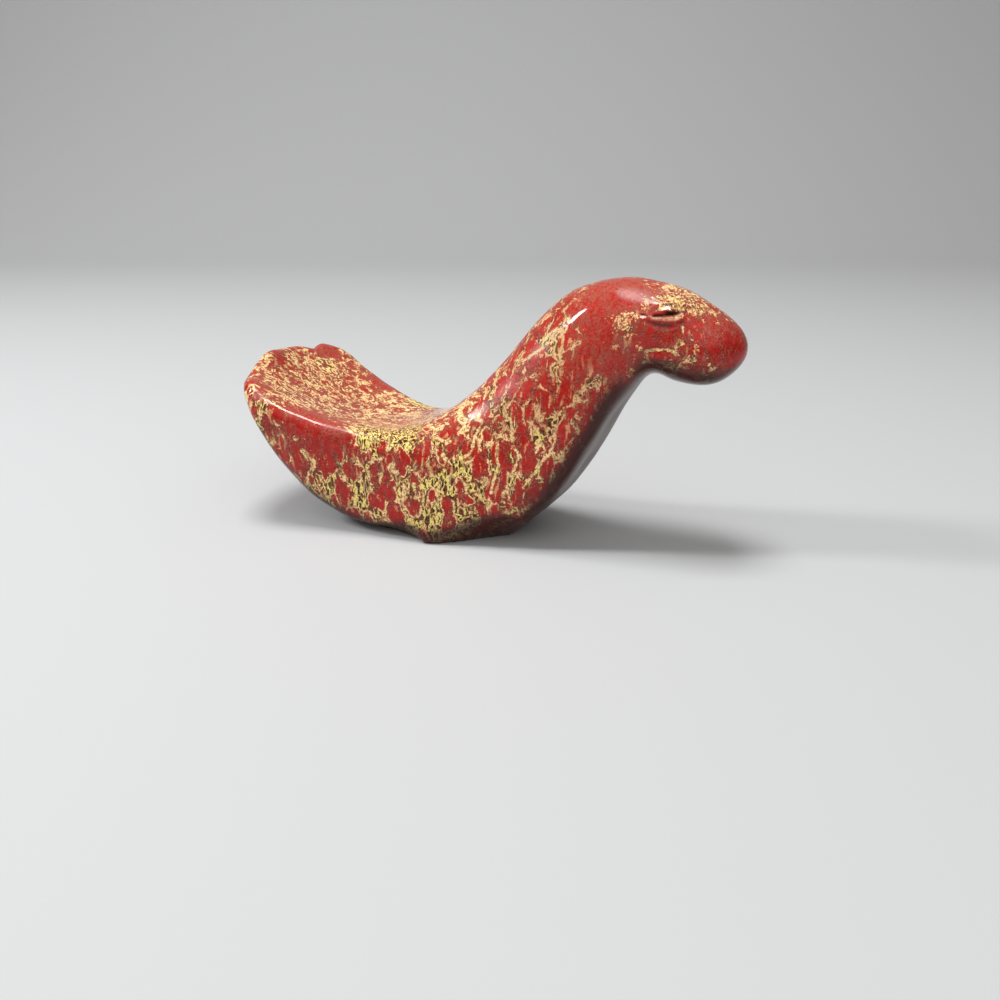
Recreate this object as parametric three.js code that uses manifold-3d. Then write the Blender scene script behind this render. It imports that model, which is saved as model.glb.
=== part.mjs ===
// A glazed ceramic seal lying on its belly, with a broad tail fan raised behind
// and the neck and egg-shaped head raised in front.
// Millimetres, +Z up, +X from the tail to the head, -Y to the seal's right.
// The origin is on the flat underside, about under the point where the seal balances.

import * as THREE from 'three';
import * as BufferGeometryUtils from 'three/addons/utils/BufferGeometryUtils.js';
import Module from 'manifold-3d';

// The ribs of the body, from the tail fan to the muzzle.
// back and belly are [x, z] on the middle plane. half is half the width.
// waterline says where the rib is widest, as a share of its height from the belly.
// swing moves the rib sideways and roll turns it, in degrees.
// dish sinks the middle of the back below its rims,
// and channel sinks the middle of the belly between its ridges.
// boxBack and boxBelly shape the corners, from 2, an ellipse, to 6, a box with tight round edges.
const plainRib = { swing: 0, roll: 0, dish: 0, channel: 0, boxBack: 2, boxBelly: 2 };
const ribs = [
  { back: [-66.8, 47.7], belly: [-69.6, 44.6], half: 28.5, waterline: 0.55,
    swing: 2.0, roll: 5.0, dish: 2.2, boxBack: 4.0, boxBelly: 2.6 },
  { back: [-59.5, 42.6], belly: [-64.3, 33.8], half: 28.7, waterline: 0.64,
    swing: 1.8, roll: 4.5, dish: 3.4, boxBack: 5.2, boxBelly: 2.8 },
  { back: [-51.0, 37.4], belly: [-59.3, 20.0], half: 28.0, waterline: 0.7,
    swing: 1.4, roll: 2.5, dish: 4.4, boxBack: 6.0, boxBelly: 3.2 },
  { back: [-41.0, 33.6], belly: [-49.7, 8.0], half: 26.5, waterline: 0.7,
    swing: 0.8, roll: 0.5, dish: 4.6, boxBack: 6.5, boxBelly: 3.4 },
  { back: [-30.0, 31.4], belly: [-36.5, 1.0], half: 24.8, waterline: 0.68,
    swing: 0.3, roll: -1.5, dish: 3.8, boxBack: 6.0, boxBelly: 4.2 },
  { back: [-18.5, 32.2], belly: [-20.0, -1.5], half: 23.6, waterline: 0.6,
    swing: -0.3, roll: -3.0, dish: 1.7, boxBack: 5.0, boxBelly: 5.4 },
  { back: [-8.0, 36.5], belly: [-3.0, -2.5], half: 23.2, waterline: 0.5,
    swing: -0.5, roll: -2.0, dish: 0.4, boxBack: 3.2, boxBelly: 5.8 },
  { back: [3.0, 44.8], belly: [14.5, -1.0], half: 21.2, waterline: 0.46,
    roll: -3.0, channel: 1.2, boxBack: 2.3, boxBelly: 3.6 },
  { back: [12.5, 55.2], belly: [29.6, 12.5], half: 18.4, waterline: 0.45,
    roll: -6.0, channel: 2.4, boxBack: 2.1, boxBelly: 3.8 },
  { back: [22.5, 68.0], belly: [40.3, 28.5], half: 16.0, waterline: 0.45,
    roll: -7.0, channel: 2.6, boxBelly: 3.8 },
  { back: [34.0, 77.0], belly: [49.4, 44.8], half: 14.6, waterline: 0.46,
    roll: -6.0, channel: 1.8, boxBelly: 3.2 },
  { back: [48.5, 80.6], belly: [57.4, 54.0], half: 14.2, waterline: 0.48,
    roll: -3.0, channel: 0.3, boxBelly: 2.3 },
  { back: [61.5, 78.6], belly: [64.5, 52.0], half: 13.8, waterline: 0.47, roll: -2.0, boxBelly: 2.1 },
  { back: [72.3, 73.1], belly: [73.0, 51.6], half: 12.6, waterline: 0.47, roll: -2.0, boxBelly: 2.1 },
  { back: [83.5, 69.8], belly: [83.5, 54.5], half: 10.0, waterline: 0.48, roll: -2.0, boxBelly: 2.1 },
].map((rib) => ({ ...plainRib, ...rib }));

// The rounding of the two ends, as radii measured along the body.
const muzzleRound = 9.5;
const fanEdgeRound = 2.6;
const fanCornerRound = 12.0;
const fanCornerShare = 0.55;

// The end of the fan seen from above: a bulged edge with a notch towards the far corner.
const fanBulge = { y: -1.0, depth: 5.0 };
const notch = { y: 16.0, depth: 3.2, half: 3.0 };
const fanEndReach = 26.0;

// An eye: a raised almond with a closed slit along it, the same on both sides of the head.
const eye = {
  x: 62.3, z: 72.4, slant: -5, long: 6.5, tall: 3.4, lid: 1.1, slitHalf: 1.2, slitDepth: 1.3,
};

// The steps of the surface.
const stepAlong = 2.8;
const stepAtEyes = 1.6;
const eyeZone = 9.0;
const stepsAtFanEdge = 5;
const stepsAtMuzzle = 7;
const stepsOfQuarter = 16;

const tableBlock = { length: 400, width: 200, height: 40 };

// Smooth rib values at any place along the body, measured along the line of the rib middles.
const plainFields = ['half', 'waterline', 'swing', 'roll', 'dish', 'channel', 'boxBack', 'boxBelly'];
const middles = ribs.map(({ back, belly }) => {
  const top = new THREE.Vector2(...back);
  return top.lerp(new THREE.Vector2(...belly), 0.5);
});
const places = [0];
for (let i = 1; i < ribs.length; i++) {
  places.push(places[i - 1] + middles[i].distanceTo(middles[i - 1]));
}
const bodyLength = places[ribs.length - 1];
const values = ribs.map((rib) => [...rib.back, ...rib.belly, ...plainFields.map((name) => rib[name])]);
const ribCurve = new THREE.CubicInterpolant(places, values.flat(), values[0].length);

function ribAt(place) {
  const [backX, backZ, bellyX, bellyZ, ...plain] = ribCurve.evaluate(place);
  const rib = { back: new THREE.Vector2(backX, backZ), belly: new THREE.Vector2(bellyX, bellyZ) };
  plainFields.forEach((name, i) => {
    rib[name] = plain[i];
  });
  return rib;
}

// From 0 at an end to 1 at the given radius from it, along a quarter circle.
function endRound(distance, radius) {
  const rest = 1 - Math.min(distance / radius, 1);
  return Math.sqrt(1 - rest * rest);
}

// A quarter of a rib's outline, as evenly spaced points [across, up].
// It runs from the middle of the back (side 1) or belly (side -1) out to the rib's widest point.
function ribQuarter(rib, side) {
  const height = rib.back.distanceTo(rib.belly);
  const middle = side > 0 ? (1 - rib.waterline) * height : rib.waterline * height;
  const sink = side > 0 ? rib.dish : rib.channel;
  const power = 2 / (side > 0 ? rib.boxBack : rib.boxBelly);
  const fine = 200;
  const curve = [];
  const lengths = [0];
  for (let i = 0; i <= fine; i++) {
    const turn = (i / fine) * Math.PI / 2;
    const across = Math.pow(Math.sin(turn), power);
    const fall = Math.pow(Math.cos(turn), power);
    curve.push(new THREE.Vector2(rib.half * across, side * (middle + sink * across * across) * fall));
    if (i > 0) lengths.push(lengths[i - 1] + curve[i].distanceTo(curve[i - 1]));
  }
  const points = [];
  let k = 1;
  for (let step = 0; step <= stepsOfQuarter; step++) {
    const wanted = (step / stepsOfQuarter) * lengths[fine];
    while (k < fine && lengths[k] < wanted) k++;
    const share = (wanted - lengths[k - 1]) / (lengths[k] - lengths[k - 1]);
    points.push(curve[k - 1].clone().lerp(curve[k], share));
  }
  return points;
}

// The whole outline of a rib, once around, starting at the middle of the back and going over the far side.
function ribLoop(rib) {
  const far = [...ribQuarter(rib, 1), ...ribQuarter(rib, -1).reverse().slice(1)];
  const near = far.slice(1, -1).reverse().map((point) => new THREE.Vector2(-point.x, point.y));
  return [...far, ...near];
}

// How far the end of the fan reaches out at a given place across.
function fanEnd(across, half) {
  const share = (across - fanBulge.y) / half;
  const groove = (across - notch.y) / notch.half;
  return fanBulge.depth * (1 - share * share) - notch.depth * Math.exp(-groove * groove);
}

function ribPoints(place) {
  const rib = ribAt(place);
  const up = rib.back.clone().sub(rib.belly).normalize();
  const along = new THREE.Vector2(up.y, -up.x);
  const middle = rib.belly.clone().lerp(rib.back, rib.waterline);
  const muzzle = endRound(bodyLength - place, muzzleRound);
  const tall = muzzle * endRound(place, fanEdgeRound);
  const wide = muzzle * (fanCornerShare + (1 - fanCornerShare) * endRound(place, fanCornerRound));
  const reach = Math.pow(Math.max(1 - place / fanEndReach, 0), 2);
  const turned = new THREE.Vector2();
  const still = new THREE.Vector2();
  return ribLoop(rib).map((point) => {
    turned.set(point.x * wide, point.y * tall).rotateAround(still, THREE.MathUtils.degToRad(rib.roll));
    const spot = middle.clone().addScaledVector(up, turned.y);
    spot.addScaledVector(along, -reach * fanEnd(turned.x, rib.half));
    return new THREE.Vector3(spot.x, turned.x + rib.swing, spot.y);
  });
}

// The place along the body whose rib middle stands at the eye.
function eyePlace() {
  let i = 1;
  while (middles[i].x < eye.x) i++;
  const share = (eye.x - middles[i - 1].x) / (middles[i].x - middles[i - 1].x);
  return THREE.MathUtils.lerp(places[i - 1], places[i], share);
}

// Places of the ribs that are drawn: crowded at the two rounded ends and at the eyes, even elsewhere.
function drawnPlaces() {
  const list = [];
  for (let i = 1; i <= stepsAtFanEdge; i++) {
    list.push(fanEdgeRound * (1 - Math.cos((i / stepsAtFanEdge) * Math.PI / 2)));
  }
  const last = bodyLength - muzzleRound;
  const atEyes = eyePlace();
  let place = fanEdgeRound;
  while (place < last) {
    place += Math.abs(place - atEyes) < eyeZone ? stepAtEyes : stepAlong;
    if (place < last - stepAtEyes / 2) list.push(place);
  }
  for (let i = 0; i < stepsAtMuzzle; i++) {
    list.push(last + muzzleRound * Math.sin((i / stepsAtMuzzle) * Math.PI / 2));
  }
  return list;
}

// Raises the lids and sinks the slit between them, outwards from the side of the head.
function raiseEye(point) {
  const side = Math.sign(point.y);
  const slant = THREE.MathUtils.degToRad(eye.slant);
  const spot = new THREE.Vector2(point.x - eye.x, point.z - eye.z);
  spot.rotateAround(new THREE.Vector2(), -slant);
  const spread = (spot.x / eye.long) ** 2 + (spot.y / eye.tall) ** 2;
  const slit = Math.exp(-((spot.y / eye.slitHalf) ** 2)) * Math.exp(-((spot.x / eye.long) ** 4));
  const rise = eye.lid * Math.exp(-(spread ** 2)) - eye.slitDepth * slit;
  point.y += side * rise * Math.SQRT1_2;
  point.z += rise * Math.SQRT1_2;
}

// Closes loops of equal length into a skin: flat across the first loop, to a point after the last one.
function skin(loops, tip) {
  const around = loops[0].length;
  const positions = [...loops.flat(), tip].flatMap((point) => point.toArray());
  const tipIndex = loops.length * around;
  const index = [];
  for (let k = 0; k < around; k++) {
    const next = (k + 1) % around;
    for (let i = 0; i < loops.length - 1; i++) {
      const a = i * around;
      const b = a + around;
      index.push(a + k, b + k, a + next, a + next, b + k, b + next);
    }
    const a = tipIndex - around;
    index.push(a + k, tipIndex, a + next);
  }
  // Each point of the first loop's back is joined to the one below it on the belly.
  const quarter = around / 4;
  for (let k = -quarter; k < quarter; k++) {
    const top = [(k + around) % around, (k + 1 + around) % around];
    const low = [(around / 2 - k) % around, (around / 2 - k - 1) % around];
    if (k > -quarter) index.push(top[0], top[1], low[0]);
    if (k < quarter - 1) index.push(top[1], low[1], low[0]);
  }
  const geometry = new THREE.BufferGeometry();
  geometry.setAttribute('position', new THREE.Float32BufferAttribute(positions, 3));
  geometry.setIndex(index);
  return geometry;
}

function sealBody() {
  const loops = drawnPlaces().map(ribPoints);
  loops.flat().forEach(raiseEye);
  const tip = ribAt(bodyLength);
  const muzzle = tip.belly.clone().lerp(tip.back, tip.waterline);
  return skin(loops, new THREE.Vector3(muzzle.x, 0, muzzle.y));
}

// Joining and cutting of closed meshes.
const wasm = await Module();
wasm.setup();

function toSolid(geometry) {
  const bare = geometry.clone();
  bare.deleteAttribute('normal');
  bare.deleteAttribute('uv');
  const merged = BufferGeometryUtils.mergeVertices(bare);
  return new wasm.Manifold(new wasm.Mesh({
    numProp: 3,
    vertProperties: new Float32Array(merged.attributes.position.array),
    triVerts: new Uint32Array(merged.index.array),
  }));
}

function toGeometry(solid) {
  const mesh = solid.getMesh();
  const geometry = new THREE.BufferGeometry();
  geometry.setAttribute('position', new THREE.Float32BufferAttribute(mesh.vertProperties, 3));
  geometry.setIndex(Array.from(mesh.triVerts));
  geometry.computeVertexNormals();
  return geometry;
}

// The underside is ground flat where the seal stands on the table.
function standOnTable(geometry) {
  const block = new THREE.BoxGeometry(tableBlock.length, tableBlock.width, tableBlock.height);
  block.translate(0, 0, -tableBlock.height / 2);
  return toGeometry(toSolid(geometry).subtract(toSolid(block)));
}

const glaze = new THREE.MeshStandardMaterial({ color: '#a8202a', roughness: 0.14, metalness: 0 });

const seal = new THREE.Mesh(standOnTable(sealBody()), glaze);
seal.name = 'seal';

const figurine = new THREE.Group();
figurine.add(seal);

export default figurine;
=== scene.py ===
import math
from types import SimpleNamespace

import bmesh
import bpy
import numpy as np
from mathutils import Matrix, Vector


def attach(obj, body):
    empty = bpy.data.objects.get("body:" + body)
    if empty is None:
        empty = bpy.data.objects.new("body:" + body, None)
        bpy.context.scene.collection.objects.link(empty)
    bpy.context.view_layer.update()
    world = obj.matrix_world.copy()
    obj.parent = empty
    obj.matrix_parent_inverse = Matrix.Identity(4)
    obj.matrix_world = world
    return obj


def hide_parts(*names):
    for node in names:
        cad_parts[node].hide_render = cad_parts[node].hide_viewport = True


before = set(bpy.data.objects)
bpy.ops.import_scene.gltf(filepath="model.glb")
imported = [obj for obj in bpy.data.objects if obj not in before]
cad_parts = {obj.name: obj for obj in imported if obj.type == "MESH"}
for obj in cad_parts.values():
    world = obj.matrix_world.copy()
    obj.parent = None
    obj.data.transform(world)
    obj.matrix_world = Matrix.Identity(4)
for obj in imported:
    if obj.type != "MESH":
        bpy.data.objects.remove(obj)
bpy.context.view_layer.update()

# Places on the seal are in millimetres, as (x, y, z), or as (x, z) for one seen from the side.
# Its right side, where y is below 0, faces the camera. Blender's own units are metres.
mm = 0.001


# Camera, floor and lights

view = {
    "place": (0.1128, -0.2835, 0.12075),
    "turn": (69.5, 0.0, 20.0),  # degrees
    "lens": 36.0,
    "sensor": 36.0,
}

studio = {
    "floorColour": (0.48, 0.487, 0.495),
    "floorRoughness": 0.75,
    "floorReach": 3.0,
    "wallDistance": 1.1,
    "wallHeight": 1.6,
    "sweep": 0.45,  # radius of the curve between floor and wall
    "sweepSteps": 24,
    "skyColour": (1.0, 0.97, 0.93),
    "skyToward": (-0.05, -0.30, 0.95),  # where the sky is brightest
    "skyHigh": 0.48,  # its brightness there
    "skyLow": 0.12,  # and on the far side
    "skyEdge": -0.3,  # cosine of the angle between the two where it stops falling
}

lamps = [
    {"name": "key", "from": (-0.72, -0.29, 0.62), "size": (0.11, 0.25), "watts": 4.7},
    {"name": "overhead", "from": (-0.08, -0.03, 1.00), "size": (0.28, 0.30), "watts": 7.4},
    {"name": "front", "from": (0.30, -0.62, 0.72), "size": (1.10, 0.90), "watts": 2.4},
]


def makeCamera():
    camera = bpy.data.objects.new("camera", bpy.data.cameras.new("camera"))
    camera.data.lens = view["lens"]
    camera.data.sensor_width = view["sensor"]
    camera.location = view["place"]
    camera.rotation_euler = [math.radians(angle) for angle in view["turn"]]
    bpy.context.scene.collection.objects.link(camera)
    bpy.context.scene.camera = camera
    print("camera set")


def makeFloor():
    # A floor that curves up into a wall behind the seal, as one sheet.
    far = studio["wallDistance"]
    radius = studio["sweep"]
    profile = [(-studio["floorReach"], 0.0), (far - radius, 0.0)]
    for step in range(1, studio["sweepSteps"] + 1):
        angle = step / studio["sweepSteps"] * math.pi / 2
        profile.append((far - radius + radius * math.sin(angle), radius - radius * math.cos(angle)))
    profile.append((far, studio["wallHeight"]))
    wide = studio["floorReach"]
    points = [(side * wide, y, z) for y, z in profile for side in (-1, 1)]
    faces = [(2 * i, 2 * i + 1, 2 * i + 3, 2 * i + 2) for i in range(len(profile) - 1)]
    mesh = bpy.data.meshes.new("floor")
    mesh.from_pydata(points, [], faces)
    mesh.shade_smooth()
    floor = bpy.data.objects.new("floor", mesh)
    floor.rotation_euler.z = math.radians(view["turn"][2])
    bpy.context.scene.collection.objects.link(floor)
    paper = bpy.data.materials.new("paper")
    paper.use_nodes = True
    skin = paper.node_tree.nodes["Principled BSDF"]
    skin.inputs["Base Color"].default_value = (*studio["floorColour"], 1)
    skin.inputs["Roughness"].default_value = studio["floorRoughness"]
    mesh.materials.append(paper)
    print("floor laid")


def makeLights():
    for lamp in lamps:
        light = bpy.data.lights.new(lamp["name"], "AREA")
        light.shape = "RECTANGLE"
        light.size, light.size_y = lamp["size"]
        light.energy = lamp["watts"]
        holder = bpy.data.objects.new(lamp["name"], light)
        holder.location = lamp["from"]
        holder.rotation_euler = Vector(lamp["from"]).to_track_quat("Z", "Y").to_euler()
        bpy.context.scene.collection.objects.link(holder)
    bpy.context.scene.view_settings.view_transform = "Standard"
    print("lights set")


class Wire:
    # A node's output, with operators that add Math nodes.
    tree = None  # the node tree that is being filled

    def __init__(self, socket):
        self.socket = socket

    @classmethod
    def add(cls, kind, settings=None, sockets=None, out=0):
        node = cls.tree.nodes.new(kind)
        for name, value in (settings or {}).items():
            setattr(node, name, value)
        for name, value in (sockets or {}).items():
            if isinstance(value, Wire):
                cls.tree.links.new(value.socket, node.inputs[name])
            else:
                node.inputs[name].default_value = value
        return cls(node.outputs[out])

    def maths(self, operation, *others, clamp=False):
        settings = {"operation": operation, "use_clamp": clamp}
        return Wire.add("ShaderNodeMath", settings, dict(enumerate((self, *others))))

    def __add__(self, other):
        return self.maths("ADD", other)

    def __radd__(self, other):
        return self.maths("ADD", other)

    def __sub__(self, other):
        return self.maths("SUBTRACT", other)

    def __rsub__(self, other):
        return Wire.add("ShaderNodeMath", {"operation": "SUBTRACT"}, {0: other, 1: self})

    def __mul__(self, other):
        return self.maths("MULTIPLY", other)

    def __rmul__(self, other):
        return self.maths("MULTIPLY", other)

    def __abs__(self):
        return self.maths("ABSOLUTE")


def makeSky():
    # A plain sky that is brightest a little in front of overhead and darkens softly from there.
    world = bpy.data.worlds.new("studio")
    world.use_nodes = True
    Wire.tree = world.node_tree
    toward = Vector(studio["skyToward"]).normalized()
    direction = Wire.add("ShaderNodeTexCoord", out=0)
    facing = Wire.add("ShaderNodeVectorMath", {"operation": "DOT_PRODUCT"}, {0: direction, 1: toward}, 1)
    glow = Wire.add("ShaderNodeMapRange", {"interpolation_type": "SMOOTHERSTEP"}, {
        "Value": facing, "From Min": studio["skyEdge"], "From Max": 1.0,
        "To Min": studio["skyLow"], "To Max": studio["skyHigh"],
    })
    sky = world.node_tree.nodes["Background"]
    sky.inputs["Color"].default_value = (*studio["skyColour"], 1)
    Wire.tree.links.new(glow.socket, sky.inputs["Strength"])
    bpy.context.scene.world = world
    print("sky set")


# The seal's surface

clay = {
    "voxel": 0.65,
    "smoothing": 16,
    "unevenness": 0.16,  # of the hand-modelled surface
    "unevenFrom": (0.5, 6.0),  # the heights between which it sets in
    "waves": 16,
    "longWave": 30.0,
    "shortWave": 9.0,
    "seed": 11,
    "strokesFrom": (2.0, 6.0),  # how far from the middle, across, the strokes set in
    "strokeEnds": (-0.05, 0.2),  # parts of a stroke's length between which each end sets in
    "level": 0.9,  # the underside is flattened where it faces down at least this much
}

eyeZone = {"x": (53.5, 68.5), "z": (68.4, 77.0), "cuts": 3, "smoothing": 12}

# The rim of the back, from the fan to the waist.
rim = {
    "line": [(-60, 42.3), (-55, 39.7), (-50, 38.3), (-43, 36.3), (-34, 34.0), (-28, 32.8), (-20, 33.3)],
    "reach": 5.0,  # how far from the line it counts as the rim
    "soft": 2.0,
    "across": (12, 15),  # from the middle
    "smoothing": 30,
}

slitPath = [(58.0, 72.2), (59.3, 72.3), (60.6, 72.4), (61.9, 72.5), (63.7, 72.8), (66.2, 73.2)]

# Lines pressed into the clay (lift below 0) or raised on it, each on both sides of the seal.
strokes = [
    # The edge of the upper lid, and the slit of the closed eye below it.
    {"path": [(57.6, 72.8), (59.2, 73.0), (60.8, 73.3), (62.4, 73.7), (64.4, 73.7), (66.4, 73.5)],
     "width": 0.60, "lift": 0.12},
    {"path": slitPath, "width": 0.34, "lift": -0.9},
    # The lower lid and the fold under it.
    {"path": [(56.6, 71.6), (58.7, 71.4), (60.8, 71.2), (63.0, 71.0), (65.0, 71.1), (66.8, 71.8)],
     "width": 0.85, "lift": 0.55},
    {"path": [(56.4, 71.2), (58.1, 70.4), (59.8, 69.8), (61.4, 69.5), (63.2, 69.6), (65.2, 70.1)],
     "width": 0.60, "lift": -0.50},
    # The corner of the jaw.
    {"path": [(56.5, 60.8), (57.6, 61.9), (59.4, 62.6), (61.8, 62.9), (64.0, 62.7), (66.0, 61.8)],
     "width": 0.9, "lift": -0.35},
    # The crease under the rim of the back, and the edge of the fan's side.
    {"path": [(-33.0, 31.0), (-28.5, 30.0), (-24.0, 29.6), (-19.0, 29.9), (-15.0, 31.0)],
     "width": 1.3, "lift": -0.45},
    {"path": [(-58.0, 34.5), (-55.5, 28.5), (-52.5, 23.0)], "width": 2.2, "lift": -0.6},
    # Low on the chest.
    {"path": [(8.0, 18.5), (9.8, 15.8), (11.2, 13.0)], "width": 0.9, "lift": 0.35},
    {"path": [(11.8, 20.5), (12.4, 15.0), (12.0, 9.5)], "width": 1.2, "lift": -0.5},
]

# Single lumps and hollows, each on both sides.
lumps = [
    {"at": (62.8, 72.95), "reach": (1.2, 0.42), "lift": -0.9},  # hollow under the upper lid
    {"at": (62.0, 61.0), "reach": (3.2, 1.8), "lift": 0.35},  # jaw
    {"at": (15.5, 11.0), "reach": (3.0, 5.0), "lift": 0.5},
    {"at": (1.5, 13.0), "reach": (6.0, 4.0), "lift": 0.4},
]

# Small flat places in the glaze that tip towards the light, each on both sides.
facets = [
    {"at": (62.3, 74.2), "reach": (2.3, 1.0), "slope": (0.13, -0.26)},  # upper lid
    {"at": (56.0, 71.8), "reach": (1.6, 0.75), "slope": (0.00, -0.50)},  # back corner
    {"at": (65.2, 71.8), "reach": (1.3, 1.0), "slope": (0.24, -0.08)},  # front corner
]

# Where the surface is raised softly, or lowered.
fills = [
    {"at": (70.0, 0, 74.0), "reach": 8.0, "lift": 1.5},  # brow
    {"at": (-70.5, -1, 50.0), "reach": 6.0, "lift": 1.6},  # end of the fan
    {"at": (-69.0, -15, 48.0), "reach": 5.5, "lift": -2.2},  # its near corner
]

# Where the belly turns under: the height of the upper edge along the seal, and how far the foot
# of the side lies inwards of the solid's (below 0 outwards, as at the corner near the middle).
bevel = {
    "edge": [(-26, 3.0), (-19, 5.0), (-14, 7.0), (-6.5, 4.6), (-1, 6.0), (5, 8.0), (12, 11.0), (18, 12.0),
             (24, 8.0)],
    "inward": [(-26, 2.5), (-20, 3.2), (-17.6, 2.8), (-13.6, 1.7), (-10, 0.0), (-6.5, -3.4), (-1.6, -1.8),
               (5, 2.2), (9.8, 4.6), (14, 6.2), (18, 6.2), (24, 3.0)],
    "fullAt": 20.0,  # across, from the middle
    "noneAt": 6.0,
    "smoothing": 4,
    "smoothBelow": 14,  # height
}


def share(value, low, high):
    # From 0 at low to 1 at high, with soft ends.
    t = np.clip((value - low) / (high - low), 0, 1)
    return t * t * (3 - 2 * t)


def fineCopy(node):
    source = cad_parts[node]
    piece = bpy.data.objects.new("seal_glazed", source.data.copy())
    bpy.context.scene.collection.objects.link(piece)
    remesh = piece.modifiers.new("even", "REMESH")
    remesh.mode = "VOXEL"
    remesh.voxel_size = clay["voxel"] * mm
    graph = bpy.context.evaluated_depsgraph_get()
    mesh = bpy.data.meshes.new_from_object(piece.evaluated_get(graph))
    piece.modifiers.clear()
    piece.data = mesh
    piece.data.materials.clear()
    return piece


def readPoints(mesh):
    flat = np.empty(len(mesh.vertices) * 3)
    mesh.vertices.foreach_get("co", flat)
    return flat.reshape(-1, 3) / mm


def writePoints(mesh, points):
    mesh.vertices.foreach_set("co", (points * mm).ravel())
    mesh.update()


def readNormals(mesh):
    flat = np.empty(len(mesh.vertices) * 3)
    mesh.vertices.foreach_get("normal", flat)
    return flat.reshape(-1, 3)


def smooth(points, mesh, rounds, where=None):
    # Each point moves half way to the middle of its neighbours, again and again, or less than half
    # way where the last value is below 1.
    ends = np.empty(len(mesh.edges) * 2, int)
    mesh.edges.foreach_get("vertices", ends)
    ends = ends.reshape(-1, 2)
    here = np.concatenate([ends[:, 0], ends[:, 1]])
    there = np.concatenate([ends[:, 1], ends[:, 0]])
    count = np.bincount(here, minlength=len(points))[:, None]
    pull = 0.5 if where is None else 0.5 * where[:, None]
    for _ in range(rounds):
        total = np.stack([np.bincount(here, points[there, k], len(points)) for k in range(3)], 1)
        points = points + pull * (total / count - points)
    return points


def inEyeZone(points):
    x, z = points[:, 0], points[:, 2]
    (left, right), (bottom, top) = eyeZone["x"], eyeZone["z"]
    return (x > left) & (x < right) & (z > bottom) & (z < top)


def refineEyes(mesh):
    chosen = inEyeZone(readPoints(mesh))
    work = bmesh.new()
    work.from_mesh(mesh)
    work.verts.ensure_lookup_table()
    edges = [edge for edge in work.edges if all(chosen[corner.index] for corner in edge.verts)]
    bmesh.ops.subdivide_edges(work, edges=edges, cuts=eyeZone["cuts"], use_grid_fill=True)
    work.to_mesh(mesh)
    work.free()


def nearRim(points):
    # 1 along the rim of the back, on both sides, and 0 away from it.
    distance = lineDistance(points[:, [0, 2]], rim["line"])[0]
    return share(rim["reach"] - distance, 0, rim["soft"]) * share(np.abs(points[:, 1]), *rim["across"])


def waves(points):
    # A gentle unevenness, mostly between -1 and 1, as a sum of long waves in many directions.
    random = np.random.default_rng(clay["seed"])
    total = np.zeros(len(points))
    for _ in range(clay["waves"]):
        direction = random.normal(size=3)
        direction /= np.linalg.norm(direction)
        length = random.uniform(clay["shortWave"], clay["longWave"])
        total += np.sin(points @ direction * 2 * math.pi / length + random.uniform(0, 2 * math.pi))
    return total / math.sqrt(clay["waves"] * 2)


def smoothLine(path, steps=6):
    # A line of small steps that runs smoothly through the points of the path.
    p = np.array(path, float)
    p = np.vstack([2 * p[0] - p[1], p, 2 * p[-1] - p[-2]])
    line = []
    for a, b, c, d in zip(p, p[1:], p[2:], p[3:]):
        for t in np.arange(steps) / steps:
            line.append(0.5 * (2 * b + (c - a) * t + (2 * a - 5 * b + 4 * c - d) * t ** 2
                               + (3 * b - a - 3 * c + d) * t ** 3))
    line.append(p[-2])
    return np.array(line)


def lineDistance(sideView, path):
    # How far each point lies from the line, and where along it, from 0 to 1.
    line = smoothLine(path)
    best = np.full(len(sideView), np.inf)
    along = np.zeros(len(sideView))
    for i, (start, end) in enumerate(zip(line, line[1:])):
        way = end - start
        t = np.clip((sideView - start) @ way / (way @ way), 0, 1)
        distance = np.linalg.norm(sideView - start - t[:, None] * way, axis=1)
        closer = distance < best
        best[closer] = distance[closer]
        along[closer] = (i + t[closer]) / (len(line) - 1)
    return best, along


def carve(points):
    # How far the strokes and lumps lift each point, in millimetres.
    sideView = points[:, [0, 2]]
    lift = np.zeros(len(points))
    for stroke in strokes:
        distance, along = lineDistance(sideView, stroke["path"])
        ends = share(along, *clay["strokeEnds"]) * share(1 - along, *clay["strokeEnds"])
        lift += stroke["lift"] * ends * np.exp(-(distance / stroke["width"]) ** 2)
    for lump in lumps:
        offset = (sideView - lump["at"]) / lump["reach"]
        lift += lump["lift"] * np.exp(-(offset ** 2).sum(1))
    for facet in facets:
        offset = sideView - facet["at"]
        away = ((offset / facet["reach"]) ** 2).sum(1)
        lift += offset @ facet["slope"] * np.exp(-away ** 2)
    return lift * share(np.abs(points[:, 1]), *clay["strokesFrom"])


def fill(points):
    for place in fills:
        away = np.linalg.norm(points - place["at"], axis=1)
        points[:, 2] += place["lift"] * np.exp(-(away / place["reach"]) ** 2)
    return points


def alongSeal(points, table):
    x, values = np.array(table, float).T
    return np.interp(points[:, 0], x, values)


def turnUnder(points):
    edge = alongSeal(points, bevel["edge"])
    inward = alongSeal(points, bevel["inward"]) * np.maximum(1 - points[:, 2] / edge, 0)
    inward *= share(np.abs(points[:, 1]), bevel["noneAt"], bevel["fullAt"])
    points[:, 1] -= np.sign(points[:, 1]) * inward
    return points


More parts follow.
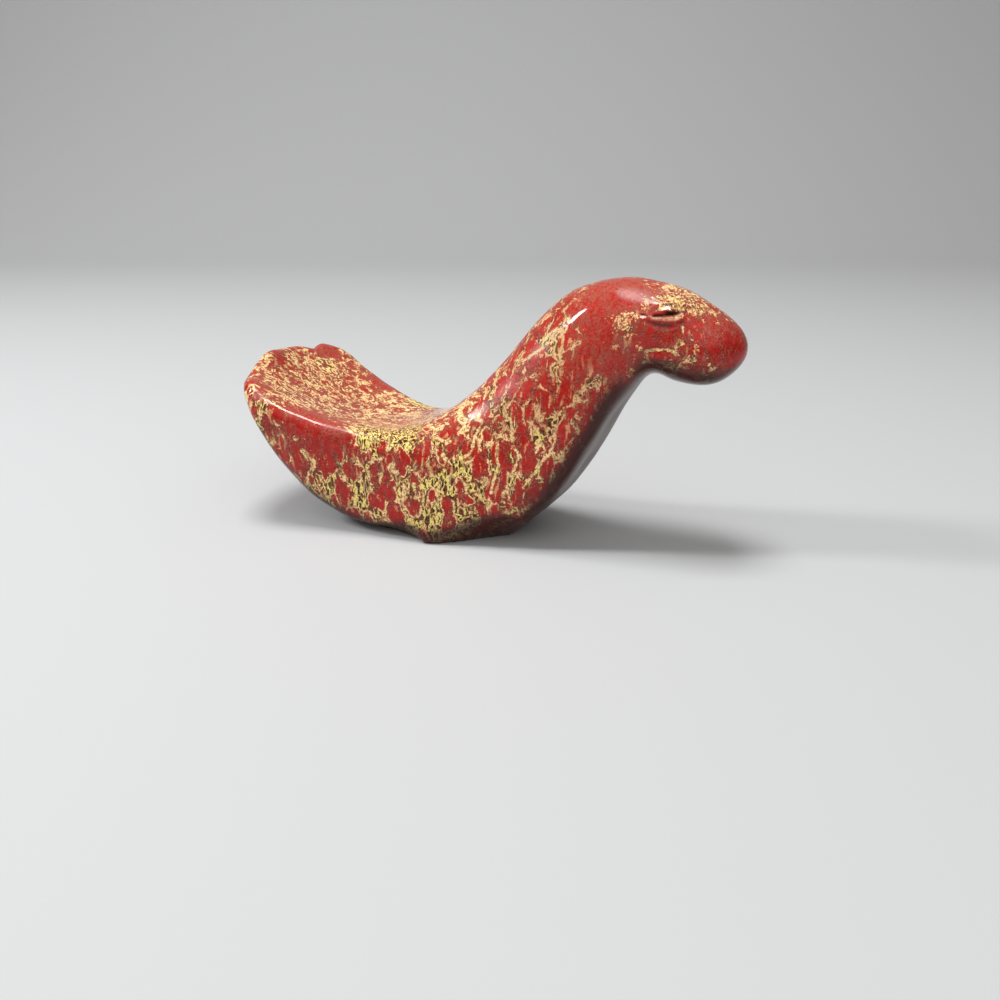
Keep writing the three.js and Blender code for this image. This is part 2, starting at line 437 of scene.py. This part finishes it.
def modelSeal():
    piece = fineCopy("seal")
    mesh = piece.data
    writePoints(mesh, smooth(readPoints(mesh), mesh, clay["smoothing"]))
    refineEyes(mesh)
    points = readPoints(mesh)
    points = smooth(points, mesh, eyeZone["smoothing"], inEyeZone(points).astype(float))
    points = smooth(points, mesh, rim["smoothing"], nearRim(points))
    points = fill(turnUnder(points))
    underside = points[:, 2] < clay["voxel"]
    low = points[:, 2] < bevel["smoothBelow"]
    points = smooth(points, mesh, bevel["smoothing"], low.astype(float))
    writePoints(mesh, points)
    normals = readNormals(mesh)
    lift = clay["unevenness"] * waves(points) * share(points[:, 2], *clay["unevenFrom"]) + carve(points)
    points = points + normals * lift[:, None]
    points[underside & (normals[:, 2] < -clay["level"]), 2] = 0
    points[:, 2] = np.maximum(points[:, 2], 0)
    writePoints(mesh, points)
    mesh.shade_smooth()
    mesh.calc_loop_triangles()
    print("surface modelled:", len(mesh.loop_triangles), "triangles")
    return piece


# The glaze

def between(value, low, high):
    # From 0 at low to 1 at high, with soft ends.
    return Wire.add("ShaderNodeMapRange", {"interpolation_type": "SMOOTHSTEP"},
                    {"Value": value, "From Min": low, "From Max": high})


def noise(place, size, detail=2.0, roughness=0.5, out=0):
    return Wire.add("ShaderNodeTexNoise", {}, {
        "Vector": place, "Scale": 1 / size, "Detail": detail, "Roughness": roughness,
    }, out)


def vectorMaths(operation, first, second):
    return Wire.add("ShaderNodeVectorMath", {"operation": operation}, {0: first, 1: second})


def moved(place, by, amount):
    # Shifts a place by a colour's three numbers, which lie around one half.
    centred = vectorMaths("SUBTRACT", by, (0.5, 0.5, 0.5))
    return vectorMaths("ADD", place, vectorMaths("MULTIPLY", centred, (amount, amount, amount)))


def cellEdge(place, size):
    # How far, in millimetres, a place lies from the edge of its cell.
    settings = {"feature": "DISTANCE_TO_EDGE"}
    return Wire.add("ShaderNodeTexVoronoi", settings, {"Vector": place, "Scale": 1 / size}) * size


def mixColour(mask, first, second):
    # Sockets 6 and 7 of the Mix node are its two colours.
    colours = {"Factor": mask, 6: first, 7: second}
    return Wire.add("ShaderNodeMix", {"data_type": "RGBA"}, colours, 2)


def painted(name):
    return Wire.add("ShaderNodeAttribute", {"attribute_name": name}, out=2)


glazeColours = {
    "red": (0.34, 0.013, 0.008, 1),
    "brightRed": (0.47, 0.017, 0.011, 1),
    "dullRed": (0.25, 0.022, 0.013, 1),
    "darkRed": (0.14, 0.006, 0.004, 1),
    "pink": (0.42, 0.076, 0.050, 1),
    "brown": (0.11, 0.028, 0.014, 1),
    "dark": (0.018, 0.006, 0.003, 1),
    "rust": (0.17, 0.032, 0.012, 1),
    "mauve": (0.32, 0.070, 0.055, 1),
    "olive": (0.19, 0.120, 0.025, 1),
    "yellow": (0.93, 0.71, 0.22, 1),
    "cream": (0.97, 0.67, 0.31, 1),
    "poolAndShade": (0.035, 0.008, 0.006, 1),  # painted shade under the belly and down the chest, partly glaze that runs thick there
    "milk": (0.47, 0.15, 0.10, 1),  # speckles behind the head, and on what faces up a painted sheen
    "tan": (0.50, 0.27, 0.14, 1),  # tan veins on the side of the neck and the shoulder
    "lid": (0.46, 0.22, 0.13, 1),
    "shade": (0.030, 0.009, 0.008, 1),  # in the slit of the eye
}

# Sizes of the patterns, in millimetres.
glazeSizes = {
    "worms": 1.25,  # about twice the way from line to line of the net
    "topWorms": 1.5,
    "fineWorms": 1.0,
    "threads": 1.3,
    "drift": 7.0,  # the long bends of every pattern
    "ripple": 1.5,  # and the short ones
    "patches": 5.5,
    "golden": 3.5,  # patches of yellow in the cream
    "breaks": 3.0,
    "hollows": 2.5,
    "mottle": 2.2,
    "grain": 1.1,
    "fleck": 0.70,
    "speck": 0.50,
}

# How many times longer the patterns on the sides are downhill than across, and those on top
# along the seal.
glazeStretch = {"downhill": 2.0, "lengthwise": 2.0}

# How far the long and the short bends shift each pattern, in millimetres.
glazeBends = {
    "islands": (4.0, 1.3),
    "worms": (2.0, 0.5),
    "topIslands": (3.0, 1.0),
    "topWorms": (2.0, 0.4),
}

# The red islands, in millimetres: how wide they are, how far the net reaches in from their edges,
# how much further where it is brushed open, and how unevenly.
islandShapes = {
    "islands": {"across": 5.4, "net": 0.15, "opening": 1.5, "patches": 3.0},
    "topIslands": {"across": 2.9, "net": 0.36, "opening": 1.0, "patches": 1.0},
}

# An edge is a pair of values in what follows, and a thing fades in or out between the two.
shores = {
    "placedDepth": 1.6,  # depth of the islands in redIslands
    "grain": 1.0,  # how far the grain moves the shores, in millimetres
    "breaks": 1.4,  # and how far the breaks do
    "edge": (-0.8, 0.3),  # from the net to the island
}

# The lines of the net.
netLines = {
    "bends": 0.4,  # how far the fine lines are bent, in millimetres
    "specks": 0.09,  # how rough their sides are
    "thick": 0.11,
    "finer": 0.03,  # how much thinner they are where the net is fine
    "edge": (-0.052, -0.008),
}

# The line along an island's shore.
shoreLine = {
    "depth": 0.12,  # where it runs
    "specks": 0.5,
    "edge": (0.06, 0.34),
    "net": 0.1,
    "breaks": (-0.03, 0.04),
}

drawnLine = {"grain": 1.6, "specks": 0.6, "edge": (0.20, 0.55)}
blotShape = {"cap": 0.5, "grain": 3.0, "breaks": 2.5, "flecks": 3.5, "edge": (0.35, 1.0)}
wispShape = {"specks": 0.4, "edge": (0.58, 0.72), "net": (-0.8, 0.2), "amount": 0.45}

# How clear the red is, by depth, by net and by mottle, and how golden the veins are.
clearRed = {"cap": 1.6, "depth": 0.4, "net": 0.25, "mottle": 3.4, "edge": (0.05, 0.60)}
goldenVeins = {"patches": 2.0, "net": 0.3, "top": 0.5, "edge": (0.45, 0.95)}

# The specks of each colour: where in their noise they begin and are full, and how much they cover.
glazeSpecks = {
    "brightRed": (-0.10, 0.10, 1.0),
    "darkRed": (0.05, 0.16, 0.45),
    "dullRed": (-0.08, 0.08, 1.0),
    "brown": (0.02, 0.10, 1.0),
    "dark": (-0.12, 0.02, 1.0),
    "olive": (0.02, 0.10, 0.7),
    "oliveInVeins": (0.0, 0.12, 0.55),
    "milk": (-0.06, 0.08, 1.0),
    "lid": (-0.15, 0.05, 1.0),
}

glazeFinish = {
    "brownNet": (-1.0, 0.3),  # brown specks come with the net
    "mauve": 0.7,  # tint of the net's ground on what faces up, partly a painted reflection
    "tan": 0.5,  # how far the veins there turn tan
    "roughness": 0.075,
    "satin": 0.30,  # added where the gloss is softer
    "ior": 1.36,
    "bump": 0.30,
    "bumpHeight": 0.12,  # in millimetres
    "veinRelief": 0.5,
    "netRelief": 0.3,
    "hollows": 1.2,
}


def bent(place, marks, pattern):
    # Bends a place as its pattern is bent, first by the long bends and then by the short ones.
    long, short = glazeBends[pattern]
    return moved(moved(place, marks.drift, long), marks.ripple, short)


def makeMarks(layers):
    # What the patterns of the glaze share: the brushed layers, the places and the noises.
    marks = SimpleNamespace(**{name: painted(name) for name in layers})
    coordinates = Wire.add("ShaderNodeTexCoord", out=3)
    marks.place = vectorMaths("MULTIPLY", coordinates, (1 / mm, 1 / mm, 1 / mm))
    marks.drift = noise(marks.place, glazeSizes["drift"], detail=1.0, out=1)
    marks.ripple = noise(marks.place, glazeSizes["ripple"], roughness=0.6, out=1)

    # Pressed together up and down, or lengthwise, so that the pattern comes out long that way.
    marks.flow = (1, 1, 1 / glazeStretch["downhill"])
    flowing = vectorMaths("MULTIPLY", marks.place, marks.flow)
    lengthwise = vectorMaths("MULTIPLY", marks.place, (1 / glazeStretch["lengthwise"], 1, 1))
    marks.islandPlace = bent(flowing, marks, "islands")
    marks.wormPlace = bent(flowing, marks, "worms")
    marks.topIslandPlace = bent(lengthwise, marks, "topIslands")
    marks.topWormPlace = bent(lengthwise, marks, "topWorms")

    # These lie around 0.
    marks.patchy = noise(marks.place, glazeSizes["patches"], detail=1.0) - 0.5
    marks.broken = noise(marks.place, glazeSizes["breaks"]) - 0.5
    marks.mottle = noise(flowing, glazeSizes["mottle"], detail=3.0, roughness=0.7) - 0.5
    marks.grain = noise(marks.place, glazeSizes["grain"], detail=3.0, roughness=0.7) - 0.5
    marks.speck = noise(marks.place, glazeSizes["speck"], detail=1.0) - 0.5
    elsewhere = vectorMaths("ADD", marks.place, (40, 60, 20))
    marks.fleck = noise(elsewhere, glazeSizes["fleck"], detail=1.0) - 0.5
    return marks


def islandDepth(place, marks, kind):
    shape = islandShapes[kind]
    net = shape["net"] + marks.net * shape["opening"] + marks.patchy * shape["patches"]
    return cellEdge(place, shape["across"]) - net


def makeIslands(marks):
    # How deep a place lies in a red island, in millimetres; below 0 it lies in the net between them.
    side = islandDepth(marks.islandPlace, marks, "islands")
    side = side.maths("MAXIMUM", marks.islands * shores["placedDepth"])
    onTop = islandDepth(marks.topIslandPlace, marks, "topIslands")
    depth = side + (onTop - side) * marks.top
    return depth + marks.grain * shores["grain"] + marks.broken * shores["breaks"]


def makeNetLines(marks, rich):
    # They follow the middle values of winding noises, and get thinner towards the islands.
    coarse = noise(marks.wormPlace, glazeSizes["worms"], detail=1.0)
    onTop = noise(marks.topWormPlace, glazeSizes["topWorms"], detail=1.0)
    coarse = coarse + (onTop - coarse) * marks.top
    finePlace = moved(marks.place, marks.ripple, netLines["bends"])
    fine = noise(finePlace, glazeSizes["fineWorms"], detail=1.0)
    worm = abs(coarse + (fine - coarse) * marks.fine - 0.5) + marks.speck * netLines["specks"]
    thick = rich * (netLines["thick"] - netLines["finer"] * marks.fine)
    return 1 - between(worm - thick, *netLines["edge"])


def makeShoreLine(marks, depth):
    away = abs(depth - shoreLine["depth"]) + marks.speck * shoreLine["specks"]
    unbroken = between(marks.broken + marks.net * shoreLine["net"], *shoreLine["breaks"])
    return (1 - between(away, *shoreLine["edge"])) * unbroken


def makeVeins(marks, depth, rich):
    away = marks.veins + marks.grain * drawnLine["grain"] + marks.speck * drawnLine["specks"]
    drawn = 1 - between(away, *drawnLine["edge"])
    blot = marks.blots.maths("MINIMUM", blotShape["cap"]) + marks.grain * blotShape["grain"]
    blot = blot + marks.broken * blotShape["breaks"] + (marks.fleck + marks.speck) * blotShape["flecks"]
    vein = makeNetLines(marks, rich).maths("MAXIMUM", makeShoreLine(marks, depth))
    return vein.maths("MAXIMUM", drawn).maths("MAXIMUM", between(blot, *blotShape["edge"]))


def specks(grains, name):
    begin, full, amount = glazeSpecks[name]
    return between(grains, begin, full) * amount


def makeRed(marks, depth):
    # Clear red in the islands, and round them dull red between pink and brown specks.
    red = mixColour(specks(marks.grain, "brightRed"), glazeColours["red"], glazeColours["brightRed"])
    red = mixColour(specks(marks.speck, "darkRed"), red, glazeColours["darkRed"])
    dull = mixColour(specks(marks.speck, "dullRed"), glazeColours["pink"], glazeColours["dullRed"])
    brown = specks(marks.fleck, "brown") * between(marks.net, *glazeFinish["brownNet"])
    dull = mixColour(brown, dull, glazeColours["brown"])
    clear = depth.maths("MINIMUM", clearRed["cap"]) * clearRed["depth"]
    clear = clear + marks.net * clearRed["net"] + marks.mottle * clearRed["mottle"]
    return mixColour(between(clear, *clearRed["edge"]), dull, red)


def makeGround(marks, topNet):
    # Under the net's lines.
    ground = mixColour(specks(marks.speck, "dark"), glazeColours["rust"], glazeColours["dark"])
    ground = mixColour(specks(marks.fleck, "olive"), ground, glazeColours["olive"])
    # On what faces up the net's ground turns mauve, partly a painted reflection of the pale surroundings.
    return mixColour(topNet * glazeFinish["mauve"], ground, glazeColours["mauve"])


def makeVeinColour(marks, topNet, rich):
    patches = noise(marks.place, glazeSizes["golden"]) - 0.5
    golden = rich + patches * goldenVeins["patches"] + marks.net * goldenVeins["net"]
    golden = between(golden - topNet * goldenVeins["top"], *goldenVeins["edge"])
    light = mixColour(golden, glazeColours["cream"], glazeColours["yellow"])
    light = mixColour(specks(marks.fleck, "oliveInVeins"), light, glazeColours["olive"])
    return mixColour(marks.thin * glazeFinish["tan"], light, glazeColours["tan"])


def makeWisps(marks):
    # Pale threads in the red beside the net, drawn out still longer.
    place = vectorMaths("MULTIPLY", marks.wormPlace, marks.flow)
    threads = noise(place, glazeSizes["threads"], detail=1.0) + marks.speck * wispShape["specks"]
    byNet = between(marks.net, *wispShape["net"]) * wispShape["amount"]
    return between(threads, *wispShape["edge"]) * byNet


def makeColour(marks, depth, rich, vein):
    topNet = (marks.top - marks.net).maths("MULTIPLY", 1.0, clamp=True)  # 1 on top, less where brushed
    colour = mixColour(rich, makeRed(marks, depth), makeGround(marks, topNet))
    # Speckles behind the head; on what faces up they are a painted sheen.
    milk = marks.milk * specks(marks.speck + marks.fleck, "milk")
    colour = mixColour(milk, colour, glazeColours["milk"])
    colour = mixColour(makeWisps(marks), colour, glazeColours["cream"])
    colour = mixColour(vein, colour, makeVeinColour(marks, topNet, rich))
    # Painted shade under the seal and down the chest, partly glaze that runs thick there.
    colour = mixColour(marks.under, colour, glazeColours["poolAndShade"])
    colour = mixColour(marks.lid * specks(marks.fleck, "lid"), colour, glazeColours["lid"])
    return mixColour(marks.shade, colour, glazeColours["shade"])


def makeGlaze(layers):
    glaze = bpy.data.materials.new("sealGlaze")
    glaze.use_nodes = True
    Wire.tree = glaze.node_tree
    marks = makeMarks(layers)
    depth = makeIslands(marks)
    rich = 1 - between(depth, *shores["edge"])  # 1 in the net, 0 in an island
    vein = makeVeins(marks, depth, rich)
    hollows = noise(marks.place, glazeSizes["hollows"]) * glazeFinish["hollows"]
    relief = vein * glazeFinish["veinRelief"] + rich * glazeFinish["netRelief"] + hollows
    bump = {
        "Strength": glazeFinish["bump"],
        "Distance": glazeFinish["bumpHeight"] * mm,
        "Height": relief,
    }
    surface = {
        "Base Color": makeColour(marks, depth, rich, vein),
        "Roughness": glazeFinish["roughness"] + marks.satin * glazeFinish["satin"],
        "Normal": Wire.add("ShaderNodeBump", {}, bump),
    }
    skin = glaze.node_tree.nodes["Principled BSDF"]
    for name, wire in surface.items():
        Wire.tree.links.new(wire.socket, skin.inputs[name])
    skin.inputs["IOR"].default_value = glazeFinish["ior"]
    print("glaze mixed")
    return glaze


# Where the yellow net opens up (above 0) or closes to plain red (below 0).
glazing = [
    {"at": (46, -9, 77), "reach": 11, "net": -1.0},  # crown and nape
    {"at": (44, -14, 68), "reach": 6, "net": -0.7},  # red band down the neck
    {"at": (45, -15, 56), "reach": 7, "net": -0.7},
    {"at": (80, -7, 66), "reach": 9, "net": -1.0},  # muzzle
    {"at": (61, -14, 66), "reach": 5, "net": -0.8},  # cheek
    {"at": (31, -12, 64), "reach": 6, "net": 0.5},  # side of the neck
    {"at": (29, -17, 40), "reach": 7, "net": 0.2},
    {"at": (50.5, -14, 70), "reach": 5.0, "net": 0.75},  # behind the eye
    {"at": (43.5, -15, 53), "reach": 4.0, "net": 1.2},  # low on the neck
    {"at": (61.5, -8.5, 77), "reach": 4.0, "net": 0.5},  # brow
    {"at": (68, -8, 75), "reach": 4.5, "net": 0.3},
    {"at": (-46, -25, 34), "reach": 7, "net": -1.0},  # under the near rim
    {"at": (-38, -25, 32), "reach": 6, "net": -0.8},
    {"at": (-26, -21, 34), "reach": 5, "net": 1.5},  # shoulder at the waist
    {"at": (-15, -19, 34), "reach": 5.5, "net": 1.5},
    {"at": (-3, -23, 7), "reach": 6, "net": 0.6},  # foot of the belly
    {"at": (-9, -23, 5), "reach": 4, "net": 0.8},
    {"at": (3, -22, 18), "reach": 8, "net": 0.7},  # belly
    {"at": (8, -21, 25), "reach": 6, "net": 0.3},
    {"at": (-11, -24, 18), "reach": 6, "net": 0.3},
    {"at": (-28, -24, 12), "reach": 6, "net": 0.4},
    {"at": (-42, -25, 15), "reach": 5, "net": 0.7},
    {"at": (-65, -22, 44), "reach": 7, "net": 0.7},  # end of the fan
    {"at": (-59.5, 14, 44.5), "reach": 4, "net": 0.7},
    {"at": (-66, 20, 48), "reach": 7, "net": -0.8},
    {"at": (-62, 21, 48), "reach": 5, "net": -1.2},
    {"at": (46, 0, 45), "reach": 14, "net": -0.6},  # throat and chest
]

# Red islands on the near side of the body: place, then half width and half height.
redIslands = [
    ((-35.8, 26.0), (1.7, 2.6)), ((-39.3, 19.5), (1.1, 3.2)), ((-34.8, 14.0), (1.9, 4.4)),
    ((-28.9, 21.0), (2.1, 2.6)), ((-24.3, 26.2), (1.0, 2.3)), ((-22.8, 22.0), (1.6, 2.6)),
    ((-20.2, 29.0), (1.4, 2.4)), ((-17.4, 26.3), (1.3, 1.8)), ((-13.4, 23.0), (1.6, 2.1)),
    ((-9.3, 28.0), (1.0, 3.4)), ((-6.6, 31.4), (1.5, 2.6)), ((-3.1, 25.3), (1.5, 2.2)),
    ((-6.9, 23.2), (1.4, 2.6)), ((-17.6, 14.7), (2.5, 3.1)), ((-23.9, 12.6), (1.4, 2.6)),
    ((-9.4, 11.8), (2.3, 3.3)), ((-3.7, 16.0), (1.3, 2.5)), ((12.1, 35.0), (1.7, 2.4)),
    ((10.6, 26.0), (2.6, 5.2)), ((23.7, 35.0), (2.2, 4.6)), ((17.9, 23.6), (1.4, 4.6)),
    ((-44.6, 16.5), (1.1, 2.2)), ((-49.0, 20.0), (1.4, 2.4)), ((15.5, 11.2), (2.5, 4.4)),
]

# Blots of cream on the near side of the head and neck, in the same way.
blots = [
    ((48.3, 71.0), (2.0, 0.9)), ((51.2, 70.2), (1.6, 1.4)), ((54.0, 71.8), (1.8, 0.7)),
    ((52.2, 66.9), (1.4, 0.8)), ((48.4, 68.4), (1.2, 1.2)), ((55.8, 74.4), (0.9, 1.5)),
    ((59.9, 77.2), (1.8, 1.0)), ((62.9, 76.1), (2.3, 1.0)), ((68.8, 74.2), (2.0, 1.1)),
    ((48.9, 63.6), (1.1, 0.9)), ((55.5, 63.4), (1.3, 0.8)), ((65.0, 63.0), (0.8, 1.4)),
    ((71.0, 64.3), (0.9, 1.0)), ((75.5, 70.5), (0.7, 0.5)),
]

# Veins that stand out on the near side.
drawnVeins = [
    [(19.2, 40.0), (19.8, 36.0), (20.0, 33.5), (21.3, 31.5), (22.3, 30.0), (21.5, 27.0), (20.6, 24.5)],
    [(24.2, 40.2), (26.0, 39.2), (27.4, 37.3), (28.5, 36.0), (27.8, 34.0), (27.4, 31.5)],
    [(15.7, 33.0), (15.4, 31.0), (15.8, 28.0), (16.3, 26.5), (15.4, 23.8), (14.8, 21.0), (14.2, 18.0)],
    [(9.0, 36.0), (8.2, 34.0), (7.9, 31.0), (6.8, 29.0), (4.6, 27.6)],
    [(32.0, 31.7), (29.8, 29.5), (28.2, 26.8), (26.2, 23.8), (24.0, 20.5)],
    [(27.0, 63.0), (29.3, 65.6), (31.6, 66.6), (33.0, 65.4), (33.1, 62.5), (32.6, 59.5)],
    [(57.1, 62.4), (58.5, 62.9), (60.5, 63.2), (62.6, 63.4), (64.5, 63.1), (66.2, 62.3)],
]

nearSideFrom = (4, 8)  # how far from the middle, across, the near side's own patterns set in
veinReach = 3.0  # veins are looked for this far away

eyePaint = {
    "slit": {"path": slitPath, "width": (0.12, 0.40)},
    "lid": {
        "path": [(57.6, 72.0), (58.7, 71.9), (60.8, 71.8), (63.0, 71.8), (64.8, 72.0), (66.2, 72.6)],
        "width": (0.3, 0.8),
        "amount": 0.9,
    },
    "shades": [
        {"at": (62.9, 73.0), "reach": (1.5, 0.72), "dark": 0.93},
        {"at": (62.2, 75.1), "reach": (1.3, 0.40), "dark": 0.60},
        {"at": (55.6, 72.5), "reach": (1.1, 0.28), "dark": 0.60},
    ],
    "shadeEdge": (0.6, 1.2),
    "lineEnds": 0.15,  # part of a line's length over which it fades at each end
    "across": (2, 4),  # from the middle
}

# Parts of the seal as limits: an axis, where the part begins and where it is full.
zones = {
    "behindHead": [("x", 28, 34), ("x", 60, 54), ("z", 50, 58)],
    "thin": [("x", 6, 14), ("x", 52, 46), ("z", 32, 40)],
    "crown": [("z", 74, 77), ("x", 44, 50), ("x", 64, 58)],
    "nape": [("x", 2, 12), ("x", 34, 26), ("z", 34, 38)],
    "chest": [("x", 14, 24), ("z", 58, 50)],
    "head": [("x", 44, 52)],
    "rimMiddle": [("x", -43, -38), ("x", -25, -29)],
    "rimEnd": [("x", -56, -59)],
}

waist = {"at": (-17, -19, 34), "reach": (16, 10, 5), "edge": (0.6, 1.1)}

# How far a surface has to face that way, from where it begins to count to where it counts fully.
facingLimits = {"up": (0.5, 0.85), "down": (0.15, 0.65), "forward": (0.15, 0.6)}

# How strongly the layers are brushed on.
amounts = {
    # Painted shade: on what faces down, on the chest, and where the belly turns under, the last two
    # partly thick glaze.
    "shadeDown": 0.92,
    "poolAndShadeChest": 0.95,
    "poolAndShadeBelly": 0.90,
    "poolAndShadeEdge": (-1.5, 2.0),  # how far below the upper edge of the belly's bevel it sets in
    # On what faces up, the speckles are a painted sheen.
    "milkTop": 0.38,
    "speckleHead": 0.25,
    "fineHead": 0.8,
    "satinNape": 0.9,
    "satinChest": 0.8,
    "satinRim": 0.9,
}


def inZone(points, name):
    inside = np.ones(len(points))
    for axis, begin, full in zones[name]:
        inside *= share(points[:, "xyz".index(axis)], begin, full)
    return inside


def brushNet(points):
    total = np.zeros(len(points))
    mirrored = points * (1, -1, 1)
    for touch in glazing:
        near = np.linalg.norm(points - touch["at"], axis=1)
        far = np.linalg.norm(mirrored - touch["at"], axis=1)
        total += touch["net"] * np.exp(-(np.minimum(near, far) / touch["reach"]) ** 2)
    return np.clip(total, -1, 1)


def brushOvals(points, ovals):
    # 1 in the middle of an oval, 0 at its edge, and -1 well away and on the far side.
    sideView = points[:, [0, 2]]
    inside = np.full(len(points), -1.0)
    for centre, half in ovals:
        inside = np.maximum(inside, 1 - np.linalg.norm((sideView - centre) / half, axis=1))
    nearSide = share(-points[:, 1], *nearSideFrom)
    return inside * nearSide - (1 - nearSide)


def brushVeins(points):
    # How far each point lies from the nearest drawn vein.
    distance = np.full(len(points), veinReach)
    for path in drawnVeins:
        distance = np.minimum(distance, lineDistance(points[:, [0, 2]], path)[0])
    nearSide = share(-points[:, 1], *nearSideFrom)
    return distance * nearSide + veinReach * (1 - nearSide)


def brushLine(points, line):
    distance, along = lineDistance(points[:, [0, 2]], line["path"])
    ends = share(along, 0, eyePaint["lineEnds"]) * share(1 - along, 0, eyePaint["lineEnds"])
    return ends * (1 - share(distance, *line["width"]))


def brushEyeShade(points):
    shade = brushLine(points, eyePaint["slit"])
    for spot in eyePaint["shades"]:
        away = np.linalg.norm((points[:, [0, 2]] - spot["at"]) / spot["reach"], axis=1)
        shade = np.maximum(shade, spot["dark"] * (1 - share(away, *eyePaint["shadeEdge"])))
    return shade


def brushPoolAndShade(points, normals, chest):
    # Painted shade on what faces down; on the chest and where the belly turns under, painted shade and
    # partly glaze that runs thick there.
    down = share(-normals[:, 2], *facingLimits["down"])
    belly = share(alongSeal(points, bevel["edge"]) - points[:, 2], *amounts["poolAndShadeEdge"])
    poolsAndShade = (amounts["shadeDown"] * down, amounts["poolAndShadeChest"] * chest, amounts["poolAndShadeBelly"] * belly)
    return np.maximum.reduce(poolsAndShade)


def brushGlaze(mesh):
    # Paints the glaze's layers on the points, and returns their names.
    points = readPoints(mesh)
    normals = readNormals(mesh)
    eyeSide = share(np.abs(points[:, 1]), *eyePaint["across"])
    top = share(normals[:, 2], *facingLimits["up"])
    chest = inZone(points, "chest") * share(normals[:, 0], *facingLimits["forward"])
    atWaist = 1 - share(np.linalg.norm((points - waist["at"]) / waist["reach"], axis=1), *waist["edge"])
    onRim = nearRim(points) * (inZone(points, "rimMiddle") + inZone(points, "rimEnd"))
    satin = (
        inZone(points, "crown"),
        amounts["satinNape"] * inZone(points, "nape"),
        amounts["satinChest"] * chest,
        amounts["satinRim"] * onRim,
    )
    layers = {
        "net": brushNet(points),
        "islands": brushOvals(points, redIslands),
        "blots": brushOvals(points, blots),
        "veins": brushVeins(points),
        "shade": brushEyeShade(points) * eyeSide,
        "lid": eyePaint["lid"]["amount"] * brushLine(points, eyePaint["lid"]) * eyeSide,
        # Painted shade under the seal and down the chest, partly thick glaze.
        "under": brushPoolAndShade(points, normals, chest),
        "top": top,
        # Speckles behind the head, and a painted sheen on what faces up.
        "milk": np.maximum(amounts["milkTop"] * top, amounts["speckleHead"] * inZone(points, "behindHead")),
        "thin": inZone(points, "thin"),
        "fine": np.maximum(atWaist, amounts["fineHead"] * inZone(points, "head")),
        "satin": np.maximum.reduce(satin),
    }
    for name, values in layers.items():
        mesh.attributes.new(name, "FLOAT", "POINT").data.foreach_set("value", values)
    print("glaze brushed on:", len(layers), "layers")
    return list(layers)


makeCamera()
makeFloor()
makeLights()
makeSky()

seal = modelSeal()
seal.data.materials.append(makeGlaze(brushGlaze(seal.data)))
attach(seal, "root")
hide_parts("seal")
